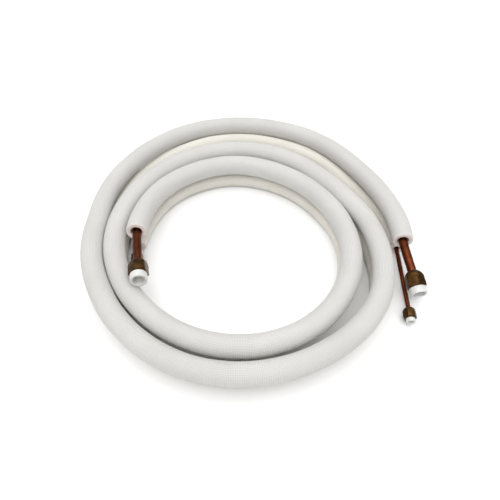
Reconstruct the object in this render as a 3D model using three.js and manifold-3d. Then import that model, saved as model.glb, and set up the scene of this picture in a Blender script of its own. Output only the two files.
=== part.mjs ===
// Mini split line set: a suction line and a liquid line of soft copper tube, each in a white foam
// sleeve, wound together into a coil of two and a half turns. Both ends of both lines carry a
// flare nut and a plug. Millimetres, +Z up, with the coil lying on the floor at z = 0.
import * as THREE from "three";
import { mergeVertices } from "three/addons/utils/BufferGeometryUtils.js";
import Module from "manifold-3d";

const wasm = await Module();
wasm.setup();

// Copper tubes
const SUCTION_TUBE_D = 12.7;
const LIQUID_TUBE_D = 6.35;
const SUCTION_TUBE_WALL = 0.8;
const LIQUID_TUBE_WALL = 0.8;

// Foam sleeves, each with a bore wider than its tube
const SUCTION_FOAM_WALL = 6.85;
const LIQUID_FOAM_WALL = 8.1;
const SUCTION_PLAY = 2.3;
const LIQUID_PLAY = 1.4;

// Flare nuts: width across flats, length, shoulder, and the depth of thread past the flared tube
const SUCTION_NUT_AF = 24;
const LIQUID_NUT_AF = 16;
const SUCTION_NUT_LENGTH = 24.5;
const LIQUID_NUT_LENGTH = 16;
const SUCTION_THREAD_D = 18.2;
const LIQUID_THREAD_D = 10.4;
const SUCTION_THREAD_DEPTH = 11;
const LIQUID_THREAD_DEPTH = 8;
const SUCTION_FLARE_D = 16.6;
const LIQUID_FLARE_D = 9.1;
const SHOULDER_SHARE = 0.32;
const COLLAR_WALL = 2.6;
const NUT_CHAMFER = 1.2;

// Plugs: a spigot in the nut's thread and a cup outside it, with a shelf where the cup's hole
// narrows into the spigot
const SUCTION_PLUG_D = 23.6;
const LIQUID_PLUG_D = 12.6;
const SUCTION_PLUG_LENGTH = 10;
const LIQUID_PLUG_LENGTH = 5.5;
const SUCTION_PLUG_WALL = 3.6;
const LIQUID_PLUG_WALL = 2.4;
const SUCTION_SPIGOT = 7.5;
const LIQUID_SPIGOT = 6;
const SPIGOT_WALL = 1.5;
const SPIGOT_FLOOR = 5;
const PLUG_SHELF = 1.6;

// Clearances: between surfaces that touch on the real object, and between sleeves side by side
const SEAT_GAP = 0.3;
const SLEEVE_GAP = 0.8;

// The four bare ends: copper between the sleeve and the nut, how far the end turns out of the
// coil's own direction, anticlockwise, how far it rises, and how far its nut is screwed round
const SUCTION_OUTER_BARE = 50;
const SUCTION_OUTER_TURN = 11;
const SUCTION_OUTER_RISE = -9.5;
const SUCTION_OUTER_NUT_TURN = 8;
const LIQUID_OUTER_BARE = 105;
const LIQUID_OUTER_TURN = 0;
const LIQUID_OUTER_RISE = 0;
const LIQUID_OUTER_NUT_TURN = 30;
const SUCTION_INNER_BARE = 59.5;
const SUCTION_INNER_TURN = 8;
const SUCTION_INNER_RISE = 7;
const SUCTION_INNER_NUT_TURN = 14;
const LIQUID_INNER_BARE = 14;
const LIQUID_INNER_TURN = 5;
const LIQUID_INNER_RISE = 0;
const LIQUID_INNER_NUT_TURN = 0;

// The coil runs anticlockwise from its outer end to its inner end. Angles are in degrees from +X.
const SUCTION_START = -4.4;
const SUCTION_END = 904.2;
const LIQUID_START_PAST = -2.3;
const LIQUID_END_PAST = -3.6;
const STATION_STEP = 15;
const SHORTEST_STEP = 2;

// The coil's shape: the radius of the liquid line, which lies on the floor, as a share of the
// coil's, and the lean of the suction line that rides on it, in degrees outward from upright.
// There is one of each for every tenth of a turn, because the coil was wound by hand. The first
// value lies a tenth before the outer end, and the last two past the inner end.
const COIL_RADIUS = 200;
const TENTH = 36;
const TURN_SHAPE = [
  1.13,
  1.07, 1.02, 1.15, 1.25, 1.21, 1.175, 1.155, 1.1, 1.02, 1,
  0.855, 0.77, 0.845, 0.925, 1.005, 1.03, 0.985, 0.88, 0.8, 0.74,
  0.665, 0.62, 0.66, 0.76, 0.85, 0.89, 0.9, 0.9,
];
const LEANS = [
  2,
  3, 32, 53, 60, 34, 2, 6, 16, 20, 2,
  6, 2, 2, 10, 2, 2, 6, 28, 30, 12,
  2, 2, 0, 2, -2, -12, -16, -16,
];

// The suction line's inner end springs up off the liquid line
const END_LIFT = 16;
const LIFT_ANGLE = 60;

// Facets
const SLEEVE_SIDES = 14;
const LIQUID_SIDES = 12;
const BORE_SIDES = 10;
const TUBE_SIDES = 8;
const FITTING_SIDES = 24;

// Short step along the coil that gives its direction, in degrees
const TANGENT_STEP = 1;

const FOAM = { color: 0xd9d7d1, roughness: 0.85, metalness: 0 };
const COPPER = { color: 0x8c4526, roughness: 0.35, metalness: 1 };
const BRASS = { color: 0x7d6433, roughness: 0.4, metalness: 1 };
const PLASTIC = { color: 0xebebe8, roughness: 0.45, metalness: 0 };

const degrees = THREE.MathUtils.degToRad;

// Distance from a regular outline's centre to its sides
function apothem(radius, sides) {
  return radius * Math.cos(Math.PI / sides);
}

function lineOf(spec) {
  const boreRadius = spec.tubeD / 2 + spec.play;
  const sleeveRadius = boreRadius + spec.foamWall;
  const drop = apothem(boreRadius, BORE_SIDES) - spec.tubeD / 2 - SEAT_GAP;
  return { ...spec, boreRadius, sleeveRadius, drop };
}

const suction = lineOf({
  tubeD: SUCTION_TUBE_D,
  tubeWall: SUCTION_TUBE_WALL,
  foamWall: SUCTION_FOAM_WALL,
  play: SUCTION_PLAY,
  sleeveSides: SLEEVE_SIDES,
  start: SUCTION_START,
  end: SUCTION_END,
  nut: {
    flats: SUCTION_NUT_AF,
    length: SUCTION_NUT_LENGTH,
    threadD: SUCTION_THREAD_D,
    threadDepth: SUCTION_THREAD_DEPTH,
    flareD: SUCTION_FLARE_D,
  },
  plug: {
    diameter: SUCTION_PLUG_D,
    length: SUCTION_PLUG_LENGTH,
    wall: SUCTION_PLUG_WALL,
    spigot: SUCTION_SPIGOT,
  },
  outer: {
    bare: SUCTION_OUTER_BARE,
    turn: SUCTION_OUTER_TURN,
    rise: SUCTION_OUTER_RISE,
    nutTurn: SUCTION_OUTER_NUT_TURN,
  },
  inner: {
    bare: SUCTION_INNER_BARE,
    turn: SUCTION_INNER_TURN,
    rise: SUCTION_INNER_RISE,
    nutTurn: SUCTION_INNER_NUT_TURN,
  },
});

const liquid = lineOf({
  tubeD: LIQUID_TUBE_D,
  tubeWall: LIQUID_TUBE_WALL,
  foamWall: LIQUID_FOAM_WALL,
  play: LIQUID_PLAY,
  sleeveSides: LIQUID_SIDES,
  start: SUCTION_START - LIQUID_START_PAST,
  end: SUCTION_END + LIQUID_END_PAST,
  nut: {
    flats: LIQUID_NUT_AF,
    length: LIQUID_NUT_LENGTH,
    threadD: LIQUID_THREAD_D,
    threadDepth: LIQUID_THREAD_DEPTH,
    flareD: LIQUID_FLARE_D,
  },
  plug: {
    diameter: LIQUID_PLUG_D,
    length: LIQUID_PLUG_LENGTH,
    wall: LIQUID_PLUG_WALL,
    spigot: LIQUID_SPIGOT,
  },
  outer: {
    bare: LIQUID_OUTER_BARE,
    turn: LIQUID_OUTER_TURN,
    rise: LIQUID_OUTER_RISE,
    nutTurn: LIQUID_OUTER_NUT_TURN,
  },
  inner: {
    bare: LIQUID_INNER_BARE,
    turn: LIQUID_INNER_TURN,
    rise: LIQUID_INNER_RISE,
    nutTurn: LIQUID_INNER_NUT_TURN,
  },
});

// Distance between the centres of the two sleeves where one rides on the other
const RIDE = suction.sleeveRadius + liquid.sleeveRadius + SLEEVE_GAP;
const FLOOR_HEIGHT = apothem(liquid.sleeveRadius, liquid.sleeveSides);

// Smooth value between the tenths of a turn
function between(values, angle) {
  const place = THREE.MathUtils.clamp(angle / TENTH + 1, 1, values.length - 2);
  const at = Math.min(Math.floor(place), values.length - 3);
  const u = place - at;
  const [a, b, c, d] = values.slice(at - 1, at + 3);
  return b + 0.5 * u * (c - a + u * (2 * a - 5 * b + 4 * c - d + u * (3 * (b - c) + d - a)));
}

// How far out and how high the suction line's centre is from the liquid line's
function ride(angle) {
  const lean = degrees(between(LEANS, angle));
  const lifted = Math.max(0, angle - (SUCTION_END - LIFT_ANGLE)) / LIFT_ANGLE;
  return { out: RIDE * Math.sin(lean), up: RIDE * Math.cos(lean) + END_LIFT * lifted * lifted };
}

// A turn lies where it was wound, or further out where the turn inside it needs the room
function liquidRadius(angle) {
  const wound = COIL_RADIUS * between(TURN_SHAPE, angle);
  const turnInside = angle + 360;
  if (turnInside > SUCTION_END) {
    return wound;
  }
  const pastSuction = suctionRadius(turnInside) + 2 * suction.sleeveRadius - ride(angle).out;
  const pastLiquid = liquidRadius(turnInside) + 2 * liquid.sleeveRadius;
  return Math.max(wound, Math.max(pastSuction, pastLiquid) + SLEEVE_GAP);
}

function suctionRadius(angle) {
  return liquidRadius(angle) + ride(angle).out;
}

function onCircle(radius, angle, height) {
  const turn = degrees(angle);
  return new THREE.Vector3(radius * Math.cos(turn), radius * Math.sin(turn), height);
}

function suctionCentre(angle) {
  return onCircle(suctionRadius(angle), angle, FLOOR_HEIGHT + ride(angle).up);
}

function liquidCentre(angle) {
  return onCircle(liquidRadius(angle), angle, FLOOR_HEIGHT);
}

// Stations along a sleeve: both ends, and the same angles in between on every line and turn
function stationsOf(line, centreAt) {
  const angles = [line.start];
  for (let k = Math.ceil(line.start / STATION_STEP); k * STATION_STEP < line.end; k += 1) {
    const angle = k * STATION_STEP;
    if (angle - line.start > SHORTEST_STEP && line.end - angle > SHORTEST_STEP) {
      angles.push(angle);
    }
  }
  angles.push(line.end);
  return angles.map(centreAt);
}

// A route that goes straight from each station to the next, one step at a time
class Route extends THREE.Curve {
  constructor(stations) {
    super();
    this.stations = stations;
    this.steps = stations.length - 1;
  }

  getPointAt(u) {
    const at = Math.min(Math.floor(u * this.steps + 1e-6), this.steps - 1);
    return this.stations[at].clone().lerp(this.stations[at + 1], u * this.steps - at);
  }

  getTangentAt(u) {
    const at = Math.round(u * this.steps);
    const here = this.stations[at];
    const before = this.stations[Math.max(at - 1, 0)];
    const after = this.stations[Math.min(at + 1, this.steps)];
    const arriving = here.clone().sub(before).normalize();
    return arriving.add(after.clone().sub(here).normalize()).normalize();
  }
}

// A regular outline with one side flat at the bottom
function outline(radius, sides) {
  const step = (2 * Math.PI) / sides;
  const corners = [];
  for (let k = 0; k < sides; k += 1) {
    const turn = (k + 0.5) * step;
    corners.push(new THREE.Vector2(radius * Math.cos(turn), radius * Math.sin(turn)));
  }
  return corners;
}

function hollowAlong(stations, radius, sides, holeRadius, holeSides) {
  const section = new THREE.Shape(outline(radius, sides));
  section.holes.push(new THREE.Path(outline(holeRadius, holeSides)));
  const extrudePath = new Route(stations);
  return new THREE.ExtrudeGeometry(section, { steps: extrudePath.steps, extrudePath });
}

// A turned shape about +X. The profile is a closed loop of [along, radius] points.
function turned(profile, sides = FITTING_SIDES) {
  const points = profile.map(([along, radius]) => new THREE.Vector2(radius, along));
  points.push(points[0].clone());
  return new THREE.LatheGeometry(points, sides).rotateZ(-Math.PI / 2);
}

function solidOf(geometry) {
  const bare = geometry.clone();
  bare.deleteAttribute("normal");
  bare.deleteAttribute("uv");
  const merged = mergeVertices(bare, 1e-4);
  return new wasm.Manifold(
    new wasm.Mesh({
      numProp: 3,
      vertProperties: new Float32Array(merged.attributes.position.array),
      triVerts: new Uint32Array(merged.index.array),
    }),
  );
}

function geometryOf(solid) {
  const mesh = solid.getMesh();
  const geometry = new THREE.BufferGeometry();
  geometry.setAttribute("position", new THREE.BufferAttribute(mesh.vertProperties, 3));
  geometry.setIndex(new THREE.BufferAttribute(mesh.triVerts, 1));
  return geometry;
}

// The way a bare end points: on along the coil, turned and raised by its own amounts
function headingOf(centreAt, from, towards, end) {
  const along = centreAt(from).sub(centreAt(towards));
  return { turn: Math.atan2(along.y, along.x) + degrees(end.turn), rise: degrees(end.rise) };
}

// A fitting's own frame has +X out along the tube, with the tube's flared rim at x = 0
function placeOf(sleeveEnd, line, end, heading) {
  const place = new THREE.Group();
  place.rotation.set(0, -heading.rise, heading.turn, "ZYX");
  const toRim = new THREE.Vector3(end.bare + line.nut.length - line.nut.threadDepth, 0, 0);
  place.position.copy(sleeveEnd).add(toRim.applyEuler(place.rotation));
  place.updateMatrix();
  return place;
}

// The flared mouth of a tube: a cone at 45 degrees
function flare(line) {
  const outer = line.tubeD / 2;
  const inner = outer - line.tubeWall;
  const spread = line.nut.flareD / 2 - outer;
  const root = -spread - 2 * line.tubeWall;
  return turned([
    [root, apothem(inner, TUBE_SIDES)],
    [root, apothem(outer, TUBE_SIDES)],
    [-spread, outer],
    [0, outer + spread],
    [0, outer + spread - line.tubeWall],
    [-spread + line.tubeWall / 2, inner],
  ], TUBE_SIDES);
}

// The hexagon, cut to a cone at its back and chamfered at its mouth, then bored for the tube,
// the flare and the thread
function nutGeometry(line, end) {
  const { flats, length, threadD, threadDepth, flareD } = line.nut;
  const back = threadDepth - length;
  const corner = flats / Math.sqrt(3);
  const collar = line.tubeD / 2 + COLLAR_WALL;
  const shoulder = back + length * SHOULDER_SHARE;
  const hexagon = new THREE.CylinderGeometry(corner, corner, length, 6);
  hexagon.rotateZ(-Math.PI / 2).rotateX(Math.PI / 6 + degrees(end.nutTurn));
  hexagon.translate(back + length / 2, 0, 0);
  const envelope = turned([
    [back, 0],
    [back, collar],
    [shoulder, corner],
    [threadDepth - NUT_CHAMFER, corner],
    [threadDepth, corner - NUT_CHAMFER],
    [threadDepth, 0],
  ]);
  const boreRadius = line.tubeD / 2 + SEAT_GAP;
  const threadRadius = threadD / 2;
  const seat = line.tubeD / 2 - flareD / 2 - SEAT_GAP * Math.SQRT2 + SEAT_GAP;
  const bore = turned([
    [back - 1, 0],
    [back - 1, boreRadius],
    [seat, boreRadius],
    [seat + threadRadius - boreRadius, threadRadius],
    [threadDepth + 1, threadRadius],
    [threadDepth + 1, 0],
  ]);
  return geometryOf(solidOf(hexagon).intersect(solidOf(envelope)).subtract(solidOf(bore)));
}

function plugGeometry(line) {
  const { diameter, length, wall, spigot } = line.plug;
  const face = line.nut.threadDepth + SEAT_GAP;
  const tip = line.nut.threadDepth - spigot;
  const spigotRadius = apothem(line.nut.threadD / 2, FITTING_SIDES) - SEAT_GAP;
  return turned([
    [tip, 0],
    [tip, spigotRadius],
    [face, spigotRadius],
    [face, diameter / 2],
    [face + length, diameter / 2],
    [face + length, diameter / 2 - wall],
    [face + PLUG_SHELF, diameter / 2 - wall],
    [face + PLUG_SHELF, spigotRadius - SPIGOT_WALL],
    [tip + SPIGOT_FLOOR, spigotRadius - SPIGOT_WALL],
    [tip + SPIGOT_FLOOR, 0],
  ]);
}

function part(name, geometry, finish) {
  const mesh = new THREE.Mesh(geometry, new THREE.MeshStandardMaterial(finish));
  mesh.name = name;
  return mesh;
}

// One line of the set: the sleeve, the tube in it, and a nut and a plug at each end
function lineSet(name, line, centreAt) {
  const stations = stationsOf(line, centreAt);
  const lowered = stations.map((station) => station.clone().setZ(station.z - line.drop));
  const backward = headingOf(centreAt, line.start, line.start + TANGENT_STEP, line.outer);
  const forward = headingOf(centreAt, line.end, line.end - TANGENT_STEP, line.inner);
  const fittings = [
    { name: "outer", end: line.outer, place: placeOf(lowered[0], line, line.outer, backward) },
    { name: "inner", end: line.inner, place: placeOf(lowered.at(-1), line, line.inner, forward) },
  ];

  const [outerRim, innerRim] = fittings.map((fitting) => fitting.place.position);
  const tubeStations = [outerRim, ...lowered, innerRim];
  const tubeRadius = line.tubeD / 2;
  const tubeHole = tubeRadius - line.tubeWall;
  let tube = solidOf(hollowAlong(tubeStations, tubeRadius, TUBE_SIDES, tubeHole, TUBE_SIDES));
  for (const { place } of fittings) {
    tube = tube.add(solidOf(flare(line).applyMatrix4(place.matrix)));
  }

  const set = new THREE.Group();
  set.add(part(
    `${name}_sleeve`,
    hollowAlong(stations, line.sleeveRadius, line.sleeveSides, line.boreRadius, BORE_SIDES),
    FOAM,
  ));
  set.add(part(`${name}_tube`, geometryOf(tube), COPPER));
  for (const { name: endName, end, place } of fittings) {
    place.add(part(`${name}_flare_nut_${endName}`, nutGeometry(line, end), BRASS));
    place.add(part(`${name}_plug_${endName}`, plugGeometry(line), PLASTIC));
    set.add(place);
  }
  return set;
}

// The origin is under the middle of the whole set, on the floor
function centred(coil) {
  const box = new THREE.Box3().setFromObject(coil);
  const middle = box.getCenter(new THREE.Vector3());
  coil.position.set(-middle.x, -middle.y, -box.min.z);
  return coil;
}

const coil = new THREE.Group();
coil.add(lineSet("suction", suction, suctionCentre));
coil.add(lineSet("liquid", liquid, liquidCentre));

const lineSetInCoil = new THREE.Group();
lineSetInCoil.add(centred(coil));

export default lineSetInCoil;
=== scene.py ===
"""A mini split line set: two copper lines in white foam sleeves, coiled on a pale floor.

Metres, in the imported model's own frame, with the floor at z = 0.
"""
import math

import bmesh
import bpy
from mathutils import Matrix, Vector


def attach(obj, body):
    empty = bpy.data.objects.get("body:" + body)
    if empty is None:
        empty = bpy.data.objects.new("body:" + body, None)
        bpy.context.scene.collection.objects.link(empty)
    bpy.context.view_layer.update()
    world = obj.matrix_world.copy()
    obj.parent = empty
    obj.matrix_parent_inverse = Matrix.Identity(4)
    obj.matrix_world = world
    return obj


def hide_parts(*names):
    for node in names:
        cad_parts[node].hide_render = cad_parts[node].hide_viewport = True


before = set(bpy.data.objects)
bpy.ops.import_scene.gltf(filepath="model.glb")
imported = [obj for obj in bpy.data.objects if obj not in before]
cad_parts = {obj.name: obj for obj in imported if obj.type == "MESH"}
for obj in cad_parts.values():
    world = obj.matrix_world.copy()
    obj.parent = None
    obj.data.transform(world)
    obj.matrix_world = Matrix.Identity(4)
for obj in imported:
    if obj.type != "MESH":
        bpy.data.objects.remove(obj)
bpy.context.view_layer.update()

MM = 0.001

# Tubes, sleeves and fittings, in millimetres
SUCTION = {
    "tube": 12.7, "wall": 0.8, "play": 2.3, "foam": 6.85,
    "flats": 24, "length": 24.5, "thread": 18.2, "depth": 11, "flare": 16.6,
    "pitch": 1.6, "plug": 23.6, "plug_length": 10, "plug_wall": 3.6, "spigot": 7.5,
}
LIQUID = {
    "tube": 6.35, "wall": 0.8, "play": 1.4, "foam": 8.1,
    "flats": 16, "length": 16, "thread": 10.4, "depth": 8, "flare": 9.1,
    "pitch": 1.2, "plug": 12.6, "plug_length": 5.5, "plug_wall": 2.4, "spigot": 6,
}
SEAT_GAP = 0.3
SLEEVE_GAP = 0.8

# The nuts' tapered shoulder, rounded edges and thread
COLLAR_WALL = 2.6
COLLAR_EDGE = 0.5
SHOULDER_SHARE = 0.32
SHOULDER_SWELL = 0.56
NUT_CHAMFER = 1.3
NUT_EDGE = 0.22
THREAD_CREST = 0.3
THREAD_ROOT = 0.35
FLAT_ON_TOP = 30

# The plugs' hollow spigot, with three ribs round it
PLUG_SHELF = 1.6
SPIGOT_WALL = 1.5
SPIGOT_FLOOR = 5
SPIGOT_CLEARANCE = 0.55
RIB_HEIGHT = 0.2
RIB_COUNT = 3
RIB_SPACING = 0.22

# The four bare ends: the line, the copper between sleeve and nut, how far the end turns out of
# the coil's direction, how far it rises and how far its nut is screwed round, in degrees
ENDS = {
    "suction_outer": (SUCTION, 50, 11, -9.5, 8),
    "suction_inner": (SUCTION, 59.5, 8, 7, 14),
    "liquid_outer": (LIQUID, 105, 0, 0, 30),
    "liquid_inner": (LIQUID, 14, 5, 0, 0),
}

# The coil's shape, wound anticlockwise: the liquid line's radius as a share of the coil's, and the
# suction line's lean outward in degrees, both at every tenth of a turn
COIL_RADIUS = 200
COIL_SHIFT = Vector((8.2666, -22.8190, 0))
SUCTION_SPAN = (-4.4, 904.2)
LIQUID_SPAN = (-2.1, 900.6)
TENTH = 36
TURN_SHAPE = [
    1.13,
    1.07, 1.02, 1.15, 1.25, 1.21, 1.175, 1.155, 1.1, 1.02, 1,
    0.855, 0.77, 0.845, 0.925, 1.005, 1.03, 0.985, 0.88, 0.8, 0.74,
    0.665, 0.62, 0.66, 0.76, 0.85, 0.89, 0.9, 0.9,
]
LEANS = [
    2,
    3, 32, 53, 60, 34, 2, 6, 16, 20, 2,
    6, 2, 2, 10, 2, 2, 6, 28, 30, 12,
    2, 2, 0, 2, -2, -12, -16, -16,
]
END_LIFT = 16
LIFT_ANGLE = 60
FLOOR_HEIGHT = 12.243

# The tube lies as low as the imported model's ten-sided bore lets it. Outside the sleeve its route
# has a point about every 9 mm and stops 5 mm short of the sleeve's end, so that it bends gently.
BORE_SIDES = 10
BARE_STEP = 9
BARE_SHORT = 5

# The share by which the foam's cut ends are drawn in, and over what length, in metres
END_SQUEEZE = 0.045
END_SQUEEZE_LENGTH = 0.004

# The foam's rounded cut edge in millimetres, and its unevenness in metres
FOAM_EDGE = 1.3
SWELL_HEIGHT = 0.0009
SWELL_SIZE = 0.05

# How often each pipe is cut into rings, first coarsely and then again
SLEEVE_RINGS = (20, 15)
TUBE_RINGS = (20, 17)

# The grid on the foam: its pitch in millimetres, where a groove starts and how much painted shade
# darkens the grooves
GRID_PITCH = 2.0
GROOVE_START = 0.26
GROOVE_PAINTED_SHADE = 0.34


# The coil's route

def bore_radius(line):
    return line["tube"] / 2 + line["play"]


def sleeve_radius(line):
    return bore_radius(line) + line["foam"]


RIDE = sleeve_radius(SUCTION) + sleeve_radius(LIQUID) + SLEEVE_GAP


def between(values, angle):
    """Smooth value between the tenths of a turn."""
    place = min(max(angle / TENTH + 1, 1), len(values) - 2)
    at = min(math.floor(place), len(values) - 3)
    u = place - at
    a, b, c, d = values[at - 1:at + 3]
    return b + 0.5 * u * (c - a + u * (2 * a - 5 * b + 4 * c - d + u * (3 * (b - c) + d - a)))


def ride(angle):
    """How far out and how high the suction line is from the liquid line."""
    lean = math.radians(between(LEANS, angle))
    lifted = max(0, angle - (SUCTION_SPAN[1] - LIFT_ANGLE)) / LIFT_ANGLE
    return RIDE * math.sin(lean), RIDE * math.cos(lean) + END_LIFT * lifted * lifted


def liquid_radius(angle):
    wound = COIL_RADIUS * between(TURN_SHAPE, angle)
    inside = angle + 360
    if inside > SUCTION_SPAN[1]:
        return wound
    past_suction = suction_radius(inside) + 2 * sleeve_radius(SUCTION) - ride(angle)[0]
    past_liquid = liquid_radius(inside) + 2 * sleeve_radius(LIQUID)
    return max(wound, max(past_suction, past_liquid) + SLEEVE_GAP)


def suction_radius(angle):
    return liquid_radius(angle) + ride(angle)[0]


def on_circle(radius, angle, height):
    turn = math.radians(angle)
    return Vector((radius * math.cos(turn), radius * math.sin(turn), height))


def centre(line, angle):
    """Middle of a line's sleeve, in millimetres from the coil's middle."""
    if line is SUCTION:
        return on_circle(suction_radius(angle), angle, FLOOR_HEIGHT + ride(angle)[1])
    return on_circle(liquid_radius(angle), angle, FLOOR_HEIGHT)


def span_of(line):
    return SUCTION_SPAN if line is SUCTION else LIQUID_SPAN


def drop_of(line):
    """How far the tube lies below the middle of its sleeve's bore."""
    return bore_radius(line) * math.cos(math.pi / BORE_SIDES) - line["tube"] / 2 - SEAT_GAP


def end_place(key):
    """A fitting's place: +X out along the tube, with the tube's flared rim at x = 0."""
    line, bare, turn, rise, _ = ENDS[key]
    start, stop = span_of(line)
    here, towards = (start, start + 1) if key.endswith("outer") else (stop, stop - 1)
    sleeve_end = centre(line, here)
    along = sleeve_end - centre(line, towards)
    heading = math.atan2(along.y, along.x) + math.radians(turn)
    turned_to = Matrix.Rotation(heading, 4, "Z") @ Matrix.Rotation(-math.radians(rise), 4, "Y")
    reach = Vector((bare + line["length"] - line["depth"], 0, 0))
    rim = sleeve_end - Vector((0, 0, drop_of(line))) + turned_to @ reach
    return Matrix.Translation((rim + COIL_SHIFT) * MM) @ turned_to


def sleeve_route(line, step=3):
    start, stop = span_of(line)
    count = round((stop - start) / step)
    angles = [start + (stop - start) * k / count for k in range(count + 1)]
    return [(centre(line, angle) + COIL_SHIFT) * MM for angle in angles]


def tube_route(name, line):
    """The sleeve's route, lowered in the bore, with a straight bare length at each end."""
    drop = Vector((0, 0, drop_of(line) * MM))
    inside = [point - drop for point in sleeve_route(line)]
    outer, inner = end_place(f"{name}_outer"), end_place(f"{name}_inner")

    def bare(place, reach):
        steps = max(3, round(reach / BARE_STEP))
        length = (reach - BARE_SHORT) * MM
        return [place @ Vector((-length * k / steps, 0, 0)) for k in range(steps + 1)]

    out_reach = (outer.translation - inside[0]).length / MM
    in_reach = (inner.translation - inside[-1]).length / MM
    return bare(outer, out_reach) + inside[1:-1] + bare(inner, in_reach)[::-1]


# Modelling

def select_none():
    if bpy.context.object and bpy.context.object.mode != "OBJECT":
        bpy.ops.object.mode_set(mode="OBJECT")
    bpy.ops.object.select_all(action="DESELECT")


def only(piece):
    select_none()
    piece.select_set(True)
    bpy.context.view_layer.objects.active = piece


def apply_modifiers(piece):
    only(piece)
    for modifier in list(piece.modifiers):
        bpy.ops.object.modifier_apply(modifier=modifier.name)


def turned(name, profile, sides=64):
    """A solid turned about X: a disc at the first [along, radius], then extruded and scaled."""
    select_none()
    x, radius = profile[0]
    bpy.ops.mesh.primitive_circle_add(
        vertices=sides, radius=radius * MM, fill_type="NGON",
        location=(x * MM, 0, 0), rotation=(0, math.radians(-90), 0))
    piece = bpy.context.object
    piece.name = name
    bpy.ops.object.transform_apply()
    bpy.ops.object.mode_set(mode="EDIT")
    bpy.ops.mesh.select_all(action="SELECT")
    for next_x, next_radius in profile[1:]:
        bpy.ops.mesh.extrude_region_move(
            TRANSFORM_OT_translate={"value": ((next_x - x) * MM, 0, 0)})
        scale = next_radius / radius
        bpy.ops.transform.resize(
            value=(1, scale, scale), center_override=(next_x * MM, 0, 0))
        x, radius = next_x, next_radius
    bpy.ops.mesh.select_all(action="SELECT")
    bpy.ops.mesh.normals_make_consistent(inside=False)
    bpy.ops.object.mode_set(mode="OBJECT")
    return piece


def combine(piece, tool, operation):
    """Joins, cuts or intersects a piece with a second solid, which is then gone."""
    cutter = piece.modifiers.new(operation.title(), "BOOLEAN")
    cutter.operation = operation
    cutter.object = tool
    cutter.solver = "EXACT"
    apply_modifiers(piece)
    bpy.data.objects.remove(tool, do_unlink=True)


def rounded(piece, width, segments, angle):
    edges = piece.modifiers.new("Rounded", "BEVEL")
    edges.width = width * MM
    edges.segments = segments
    edges.limit_method = "ANGLE"
    edges.angle_limit = math.radians(angle)
    edges.use_clamp_overlap = True
    apply_modifiers(piece)


def smooth(piece, angle):
    only(piece)
    bpy.ops.object.shade_smooth_by_angle(angle=math.radians(angle))


def put(piece, place):
    """Moves a finished piece to its place and keeps that place in its mesh."""
    only(piece)
    piece.matrix_world = place
    bpy.ops.object.transform_apply(location=True, rotation=True, scale=True)


def route_curve(name, points):
    curve = bpy.data.curves.new(name, "CURVE")
    curve.dimensions = "3D"
    curve.twist_mode = "Z_UP"
    curve.resolution_u = 4
    curve.use_stretch = True
    curve.use_deform_bounds = True
    spline = curve.splines.new("NURBS")
    spline.points.add(len(points) - 1)
    for control, point in zip(spline.points, points):
        control.co = (*point, 1)
    spline.order_u = 4
    spline.use_endpoint_u = True
    route = bpy.data.objects.new(name, curve)
    bpy.context.collection.objects.link(route)
    return route


def length_of(points):
    return sum((b - a).length for a, b in zip(points, points[1:]))


def straight_pipe(name, radius, length, sides, cuts):
    """An open pipe along X with many rings, ready to be bent."""
    select_none()
    bpy.ops.mesh.primitive_cylinder_add(
        vertices=sides, radius=radius * MM, depth=length, end_fill_type="NOTHING",
        rotation=(0, math.radians(90), 0))
    piece = bpy.context.object
    piece.name = name
    bpy.ops.object.transform_apply()
    bpy.ops.object.mode_set(mode="EDIT")
    bpy.ops.mesh.select_mode(type="EDGE")
    for count in cuts:
        bpy.ops.mesh.select_all(action="DESELECT")
        mesh = bmesh.from_edit_mesh(piece.data)
        for edge in mesh.edges:
            edge.select = abs(edge.verts[0].co.x - edge.verts[1].co.x) > 1e-5
        bmesh.update_edit_mesh(piece.data)
        bpy.ops.mesh.subdivide(number_cuts=count - 1)
    bpy.ops.object.mode_set(mode="OBJECT")
    return piece


def keep_straight_place(piece):
    """Keeps each point's place on the straight pipe, for patterns that follow its surface."""
    places = piece.data.attributes.new("Straight", "FLOAT_VECTOR", "POINT")
    for vertex, place in zip(piece.data.vertices, places.data):
        place.vector = vertex.co


def flare(piece, line, length):
    """Widens both mouths of a straight tube to a cone at 45 degrees."""
    spread = (line["flare"] - line["tube"]) / 2
    bpy.ops.object.mode_set(mode="EDIT")
    for side in (-1, 1):
        bpy.ops.mesh.select_all(action="DESELECT")
        mesh = bmesh.from_edit_mesh(piece.data)
        for edge in mesh.edges:
            edge.select = all(v.co.x * side > length / 2 - 1e-6 for v in edge.verts)
        bmesh.update_edit_mesh(piece.data)
        scale = line["flare"] / line["tube"]
        bpy.ops.mesh.extrude_region_move(
            TRANSFORM_OT_translate={"value": (side * spread * MM, 0, 0)})
        bpy.ops.transform.resize(
            value=(1, scale, scale), center_override=(side * (length / 2 + spread * MM), 0, 0))
    bpy.ops.object.mode_set(mode="OBJECT")


def bend(piece, route_points):
    route = route_curve(f"{piece.name}_route", route_points)
    along = piece.modifiers.new("Along", "CURVE")
    along.object = route
    along.deform_axis = "POS_X"
    apply_modifiers(piece)
    bpy.data.objects.remove(route, do_unlink=True)


def thicken(piece, wall, cut_slot):
    """Gives a pipe its wall, inward, with the bore and the end faces in their own material."""
    body = piece.modifiers.new("Wall", "SOLIDIFY")
    body.thickness = wall * MM
    body.offset = -1
    body.use_rim = True
    body.material_offset = cut_slot
    body.material_offset_rim = cut_slot
    apply_modifiers(piece)


# Materials

def new_material(name):
    material = bpy.data.materials.new(name)
    material.use_nodes = True
    nodes = material.node_tree.nodes
    return material, nodes, material.node_tree.links, nodes["Principled BSDF"]


def math_node(nodes, links, operation, a, b=None):
    node = nodes.new("ShaderNodeMath")
    node.operation = operation
    for socket, value in zip(node.inputs, (a, b)):
        if value is None:
            continue
        if isinstance(value, (int, float)):
            socket.default_value = value
        else:
            links.new(value, socket)
    return node.outputs[0]


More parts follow.
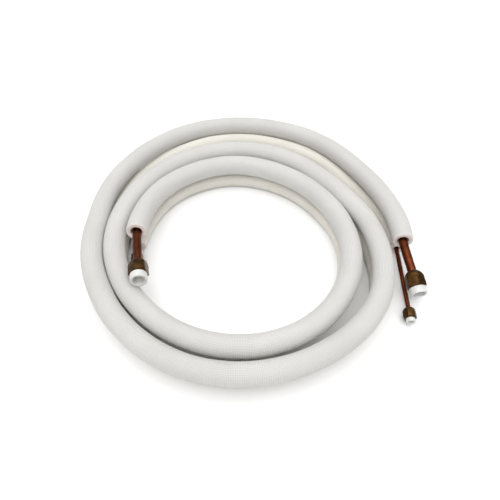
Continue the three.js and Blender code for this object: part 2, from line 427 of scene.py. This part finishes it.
def ramp(nodes, links, source, stops):
    node = nodes.new("ShaderNodeValToRGB")
    links.new(source, node.inputs["Fac"])
    elements = node.color_ramp.elements
    while len(elements) < len(stops):
        elements.new(0.5)
    for element, (position, colour) in zip(elements, stops):
        element.position = position
        element.color = (*colour, 1)
    return node.outputs["Color"]


def noise(nodes, links, where, scale, detail=3, roughness=0.5):
    node = nodes.new("ShaderNodeTexNoise")
    node.inputs["Scale"].default_value = scale
    node.inputs["Detail"].default_value = detail
    node.inputs["Roughness"].default_value = roughness
    links.new(where, node.inputs["Vector"])
    return node.outputs["Fac"]


def bump(nodes, links, height, distance, shader, under=None):
    node = nodes.new("ShaderNodeBump")
    node.inputs["Distance"].default_value = distance
    links.new(height, node.inputs["Height"])
    if under is not None:
        links.new(under, node.inputs["Normal"])
    links.new(node.outputs["Normal"], shader.inputs["Normal"])
    return node.outputs["Normal"]


def object_place(nodes):
    return nodes.new("ShaderNodeTexCoord").outputs["Object"]


def straight_place(nodes):
    node = nodes.new("ShaderNodeAttribute")
    node.attribute_name = "Straight"
    return node.outputs["Vector"]


def embossed_foam(name, line, colours):
    """White foam with a skin embossed in a fine square grid, its grooves darkened with painted
    shade.
    """
    material, nodes, links, shader = new_material(name)
    place = straight_place(nodes)
    split = nodes.new("ShaderNodeSeparateXYZ")
    links.new(place, split.inputs[0])
    radius = sleeve_radius(line) * MM
    cells = round(2 * math.pi * radius / (GRID_PITCH * MM))
    turn = math_node(nodes, links, "ARCTAN2", split.outputs["Z"], split.outputs["Y"])
    around = math_node(nodes, links, "MULTIPLY", turn, cells / (2 * math.pi))
    along = math_node(nodes, links, "DIVIDE", split.outputs["X"], GRID_PITCH * MM)
    grooves = []
    for way in (around, along):
        part = math_node(nodes, links, "FRACT", way)
        off = math_node(nodes, links, "SUBTRACT", part, 0.5)
        away = math_node(nodes, links, "ABSOLUTE", off)
        groove = nodes.new("ShaderNodeMapRange")
        groove.interpolation_type = "SMOOTHSTEP"
        groove.inputs["From Min"].default_value = GROOVE_START
        groove.inputs["From Max"].default_value = 0.5
        links.new(away, groove.inputs["Value"])
        grooves.append(groove.outputs["Result"])
    grid = math_node(nodes, links, "MAXIMUM", *grooves)
    wide = noise(nodes, links, object_place(nodes), 14, 2)
    fine = noise(nodes, links, place, 900, 2)
    tone = ramp(nodes, links, wide, [(0.3, colours[0]), (0.7, colours[1])])
    # Painted shade: the grooves' base colour is multiplied towards a dark colour, as shade in the
    # embossed recesses
    shade = nodes.new("ShaderNodeMix")
    shade.data_type = "RGBA"
    shade.blend_type = "MULTIPLY"
    links.new(math_node(nodes, links, "MULTIPLY", grid, GROOVE_PAINTED_SHADE), shade.inputs["Factor"])
    links.new(tone, shade.inputs["A"])
    shade.inputs["B"].default_value = (*colours[2], 1)
    links.new(shade.outputs["Result"], shader.inputs["Base Color"])
    shader.inputs["Roughness"].default_value = 0.62
    shader.inputs["Sheen Weight"].default_value = 0.12
    under = bump(nodes, links, fine, 0.00008, shader)
    low = math_node(nodes, links, "MULTIPLY", grid, -1)
    bump(nodes, links, low, 0.00035, shader, under)
    return material


def cut_foam():
    """The foam's cut faces and bore: small open cells."""
    material, nodes, links, shader = new_material("cut foam")
    place = object_place(nodes)
    cells = nodes.new("ShaderNodeTexVoronoi")
    cells.inputs["Scale"].default_value = 1400
    links.new(place, cells.inputs["Vector"])
    tone = ramp(nodes, links, cells.outputs["Distance"],
                [(0.0, (0.62, 0.53, 0.49)), (0.55, (0.84, 0.75, 0.71))])
    links.new(tone, shader.inputs["Base Color"])
    shader.inputs["Roughness"].default_value = 0.8
    bump(nodes, links, cells.outputs["Distance"], 0.0003, shader)
    return material


def drawn_copper():
    """Copper tube: dark red-brown, with draw lines along it and darker handled patches."""
    material, nodes, links, shader = new_material("drawn copper")
    place = straight_place(nodes)
    stretch = nodes.new("ShaderNodeMapping")
    stretch.inputs["Scale"].default_value = (0.02, 1, 1)
    links.new(place, stretch.inputs["Vector"])
    lines = noise(nodes, links, stretch.outputs["Vector"], 2600, 2)
    patches = noise(nodes, links, object_place(nodes), 70, 4, 0.6)
    tone = ramp(nodes, links, patches, COPPER_TONES)
    links.new(tone, shader.inputs["Base Color"])
    shader.inputs["Metallic"].default_value = 1
    rough = ramp(nodes, links, patches, [(0.3, (0.45,) * 3), (0.75, (0.27,) * 3)])
    links.new(rough, shader.inputs["Roughness"])
    bump(nodes, links, lines, 0.00004, shader)
    return material


def turned_brass():
    """Brass nut: darkened, with fine machining marks and rubbed, brighter places."""
    material, nodes, links, shader = new_material("darkened brass")
    place = object_place(nodes)
    marks = noise(nodes, links, place, 1500, 2)
    patches = noise(nodes, links, place, 120, 3, 0.6)
    tone = ramp(nodes, links, patches, BRASS_TONES)
    links.new(tone, shader.inputs["Base Color"])
    shader.inputs["Metallic"].default_value = 1
    rough = ramp(nodes, links, marks, [(0.3, (0.34,) * 3), (0.7, (0.46,) * 3)])
    links.new(rough, shader.inputs["Roughness"])
    bump(nodes, links, marks, 0.00004, shader)
    return material


def moulded_plastic():
    """White plug: moulded plastic, faintly clouded."""
    material, nodes, links, shader = new_material("moulded plastic")
    place = object_place(nodes)
    cloud = noise(nodes, links, place, 160, 3)
    tone = ramp(nodes, links, cloud, [(0.3, (0.60, 0.60, 0.585)), (0.7, (0.72, 0.72, 0.70))])
    links.new(tone, shader.inputs["Base Color"])
    shader.inputs["Roughness"].default_value = 0.36
    shader.inputs["Subsurface Weight"].default_value = 0.03
    shader.inputs["Subsurface Scale"].default_value = 0.002
    bump(nodes, links, cloud, 0.00006, shader)
    return material


def pale_floor():
    material, nodes, links, shader = new_material("pale floor")
    tone = ramp(nodes, links, noise(nodes, links, object_place(nodes), 1.5, 2),
                [(0.3, (0.93, 0.93, 0.93)), (0.7, (0.95, 0.95, 0.95))])
    links.new(tone, shader.inputs["Base Color"])
    shader.inputs["Roughness"].default_value = 0.9
    return material


COPPER_TONES = [
    (0.3, (0.066, 0.016, 0.007)), (0.55, (0.13, 0.033, 0.0125)), (0.8, (0.215, 0.06, 0.023)),
]
BRASS_TONES = [
    (0.3, (0.034, 0.016, 0.006)), (0.6, (0.095, 0.048, 0.016)), (0.85, (0.25, 0.14, 0.048)),
]

# Each foam's two tones and the colour of the painted shade in its grooves
WHITE_FOAM = [(0.69, 0.675, 0.65), (0.74, 0.725, 0.70), (0.30, 0.29, 0.275)]
CREAM_FOAM = [(0.80, 0.775, 0.705), (0.85, 0.825, 0.755), (0.34, 0.32, 0.28)]
suction_foam = embossed_foam("white embossed foam", SUCTION, WHITE_FOAM)
liquid_foam = embossed_foam("cream embossed foam", LIQUID, CREAM_FOAM)
foam_cut = cut_foam()
copper = drawn_copper()
brass = turned_brass()
plastic = moulded_plastic()


# Sleeves and tubes

def uneven(piece):
    """Slight hand-wound unevenness of a foam sleeve."""
    texture = bpy.data.textures.new(f"{piece.name}_swell", "CLOUDS")
    texture.noise_scale = SWELL_SIZE
    swell = piece.modifiers.new("Swell", "DISPLACE")
    swell.texture = texture
    swell.texture_coords = "LOCAL"
    swell.strength = SWELL_HEIGHT
    swell.mid_level = 0.5
    apply_modifiers(piece)


def rest_on_floor(piece):
    """Flattens the underside where the soft foam lies on the floor."""
    only(piece)
    bpy.ops.object.mode_set(mode="EDIT")
    bpy.ops.mesh.select_mode(type="VERT")
    bpy.ops.mesh.select_all(action="DESELECT")
    mesh = bmesh.from_edit_mesh(piece.data)
    low = [vertex for vertex in mesh.verts if vertex.co.z < 0]
    for vertex in low:
        vertex.select = True
    mesh.select_flush_mode()
    bmesh.update_edit_mesh(piece.data)
    if low:
        bpy.ops.transform.resize(value=(1, 1, 0), center_override=(0, 0, 0))
    bpy.ops.object.mode_set(mode="OBJECT")


def squeeze_ends(piece, length):
    """Draws in the last few millimetres of a straight sleeve, as a blade leaves soft foam."""
    for side in (-1, 1):
        only(piece)
        bpy.ops.object.mode_set(mode="EDIT")
        bpy.ops.mesh.select_mode(type="VERT")
        bpy.ops.mesh.select_all(action="DESELECT")
        mesh = bmesh.from_edit_mesh(piece.data)
        for vertex in mesh.verts:
            vertex.select = vertex.co.x * side > length / 2 - END_SQUEEZE_LENGTH
        mesh.select_flush_mode()
        bmesh.update_edit_mesh(piece.data)
        bpy.ops.transform.resize(
            value=(1, 1 - END_SQUEEZE, 1 - END_SQUEEZE), center_override=(side * length / 2, 0, 0),
            use_proportional_edit=True, proportional_edit_falloff="SMOOTH",
            proportional_size=END_SQUEEZE_LENGTH * 5, use_proportional_connected=True)
        bpy.ops.object.mode_set(mode="OBJECT")


def foam_sleeve(name, line, skin, sides):
    points = sleeve_route(line)
    length = length_of(points)
    piece = straight_pipe(f"{name}_foam_sleeve", sleeve_radius(line), length, sides, SLEEVE_RINGS)
    piece.data.materials.append(skin)
    piece.data.materials.append(foam_cut)
    thicken(piece, line["foam"], 1)
    rounded(piece, FOAM_EDGE, 3, 60)
    keep_straight_place(piece)
    squeeze_ends(piece, length)
    bend(piece, points)
    uneven(piece)
    rest_on_floor(piece)
    smooth(piece, 40)
    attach(piece, "root")
    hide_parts(f"{name}_sleeve")


def copper_tube(name, line, sides):
    points = tube_route(name, line)
    spread = (line["flare"] - line["tube"]) / 2 * MM
    length = length_of(points) - 2 * spread
    piece = straight_pipe(f"{name}_copper_tube", line["tube"] / 2, length, sides, TUBE_RINGS)
    flare(piece, line, length)
    piece.data.materials.append(copper)
    thicken(piece, line["wall"], 0)
    keep_straight_place(piece)
    bend(piece, points)
    smooth(piece, 40)
    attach(piece, "root")
    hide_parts(f"{name}_tube")


# Fittings

def threaded(start, stop, crest, root, pitch):
    """A profile of V-shaped grooves from start to stop."""
    profile = []
    count = round((stop - start) / pitch)
    for k in range(count):
        x = start + k * pitch
        profile += [(x, crest), (x + 0.15 * pitch, crest), (x + 0.55 * pitch, root)]
    return profile


def flare_nut(key):
    """A hexagon turned down to a tapered shoulder, with a seat for the flare and a thread."""
    line, _, _, _, nut_turn = ENDS[key]
    back = line["depth"] - line["length"]
    depth = line["depth"]
    corner = line["flats"] / math.sqrt(3)
    collar = line["tube"] / 2 + COLLAR_WALL
    shoulder = back + line["length"] * SHOULDER_SHARE
    slope = corner - collar
    select_none()
    bpy.ops.mesh.primitive_cylinder_add(
        vertices=6, radius=corner * MM, depth=line["length"] * MM,
        location=((back + line["length"] / 2) * MM, 0, 0), rotation=(0, math.radians(90), 0))
    nut = bpy.context.object
    nut.name = f"{key}_nut_body"
    bpy.ops.object.transform_apply()
    bpy.ops.object.mode_set(mode="EDIT")
    bpy.ops.mesh.select_all(action="SELECT")
    bpy.ops.transform.rotate(
        value=-math.radians(FLAT_ON_TOP + nut_turn), orient_axis="X", center_override=(0, 0, 0))
    bpy.ops.object.mode_set(mode="OBJECT")
    envelope = turned("envelope", [
        (back, collar - COLLAR_EDGE),
        (back + COLLAR_EDGE, collar),
        (back + (shoulder - back) * 0.5, collar + slope * SHOULDER_SWELL),
        (shoulder + 0.4, corner * 0.99),
        (shoulder + 1.4, corner + 0.02),
        (depth - NUT_CHAMFER, corner + 0.02),
        (depth, corner - NUT_CHAMFER),
    ])
    combine(nut, envelope, "INTERSECT")
    bore = line["tube"] / 2 + SEAT_GAP
    seat = (line["tube"] - line["flare"]) / 2 - SEAT_GAP * math.sqrt(2) + SEAT_GAP
    crest, root = line["thread"] / 2 - THREAD_CREST, line["thread"] / 2 + THREAD_ROOT
    mouth = seat + crest - bore
    hole = turned("hole", [(back - 1, bore), (seat, bore), (mouth, crest)]
                  + threaded(max(mouth + 0.6, 1.5), depth - 1, crest, root, line["pitch"])
                  + [(depth - 0.7, crest), (depth + 0.3, root + 0.6), (depth + 1, root + 0.6)])
    combine(nut, hole, "DIFFERENCE")
    rounded(nut, NUT_EDGE, 2, 32)
    nut.data.materials.append(brass)
    smooth(nut, 28)
    put(nut, end_place(key))
    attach(nut, f"{key}_nut")
    name, end_name = key.split("_")
    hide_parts(f"{name}_flare_nut_{end_name}")


def plug(key):
    """A cap with an open cavity, on a hollow, ribbed spigot."""
    line = ENDS[key][0]
    depth = line["depth"]
    face = depth + SEAT_GAP
    outside = line["plug"] / 2
    hole = outside - line["plug_wall"]
    stem = line["thread"] / 2 - SPIGOT_CLEARANCE
    rib = stem + RIB_HEIGHT
    tip = depth - line["spigot"]
    end = face + line["plug_length"]
    core = line["thread"] / 2 - SEAT_GAP - SPIGOT_WALL
    ribs = []
    for k in range(RIB_COUNT):
        x = tip + line["spigot"] * (RIB_SPACING + RIB_SPACING * k)
        ribs += [(x, stem - 0.25), (x + 0.35, rib), (x + 0.75, rib), (x + 1.05, stem - 0.25)]
    piece = turned(f"{key}_plug_cap", [
        (tip, stem - 0.9), (tip + 0.5, stem - 0.25),
        *ribs,
        (face, stem - 0.25),
        (face, outside - 0.5), (face + 0.35, outside - 0.1), (face + 0.8, outside),
        (face + 2.2, outside), (face + 2.5, outside - 0.22), (face + 2.9, outside - 0.22),
        (end - 0.9, outside - 0.35), (end - 0.3, outside - 0.6), (end, outside - 1.0),
        (end, hole + 0.6), (end - 0.3, hole + 0.2), (end - 0.9, hole),
        (face + PLUG_SHELF + 0.6, hole - 0.1), (face + PLUG_SHELF, hole - 0.6),
        (face + PLUG_SHELF, core + 0.4), (face + PLUG_SHELF - 0.4, core),
        (tip + SPIGOT_FLOOR + 0.5, core - 0.15), (tip + SPIGOT_FLOOR, core - 0.7),
        (tip + SPIGOT_FLOOR, 0.8), (tip + SPIGOT_FLOOR + 0.4, 0.4),
    ])
    piece.data.materials.append(plastic)
    smooth(piece, 35)
    put(piece, end_place(key))
    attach(piece, f"{key}_plug")
    name, end_name = key.split("_")
    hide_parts(f"{name}_plug_{end_name}")


foam_sleeve("suction", SUCTION, suction_foam, 56)
foam_sleeve("liquid", LIQUID, liquid_foam, 44)
copper_tube("suction", SUCTION, 32)
copper_tube("liquid", LIQUID, 24)
for end_key in ENDS:
    flare_nut(end_key)
    plug(end_key)


# Floor, light and camera

# In metres. The floor lies a hair below the foam, so that the two don't share a plane.
FLOOR_SIZE = 12
FLOOR_DROP = 0.0002

select_none()
bpy.ops.mesh.primitive_plane_add(size=FLOOR_SIZE, location=(0, 0, -FLOOR_DROP))
floor = bpy.context.object
floor.name = "floor"
floor.data.materials.append(pale_floor())

# How bright the studio is by height, from the horizon at 0 to overhead at 1
SKY = [(0.30, 0.30), (0.55, 0.74), (0.85, 1.45)]

scene = bpy.context.scene
scene.view_settings.view_transform = "Standard"
world = bpy.data.worlds.new("studio")
scene.world = world
world.use_nodes = True
sky_nodes, sky_links = world.node_tree.nodes, world.node_tree.links
direction = sky_nodes.new("ShaderNodeTexCoord").outputs["Generated"]
upward = sky_nodes.new("ShaderNodeSeparateXYZ")
sky_links.new(direction, upward.inputs[0])
sky_links.new(
    ramp(sky_nodes, sky_links, upward.outputs["Z"],
         [(height, (light,) * 3) for height, light in SKY]),
    sky_nodes["Background"].inputs["Color"])
sky_nodes["Background"].inputs["Strength"].default_value = 1.0


def soft_light(name, place, size, power):
    """A round soft light that faces the coil's middle."""
    bpy.ops.object.light_add(type="AREA", location=place)
    light = bpy.context.object
    light.name = name
    light.data.shape = "DISK"
    light.data.size = size
    light.data.energy = power
    light.rotation_euler = (-Vector(place)).to_track_quat("-Z", "Y").to_euler()


soft_light("overhead", (0.1, 0.15, 2.2), 3.0, 20)
soft_light("front", (-0.5, -1.5, 2.1), 1.8, 9)

# The photo's own viewpoint: above the near side, looking down at the coil
CAMERA_PLACE = (0.0, -0.48745, 0.58980)
ELEVATION = math.radians(51.834)
LENS = 34.975
bpy.ops.object.camera_add(location=CAMERA_PLACE, rotation=(math.pi / 2 - ELEVATION, 0, 0))
camera = bpy.context.object
camera.data.sensor_width = 36
camera.data.lens = LENS
camera.data.clip_start = 0.01
scene.camera = camera
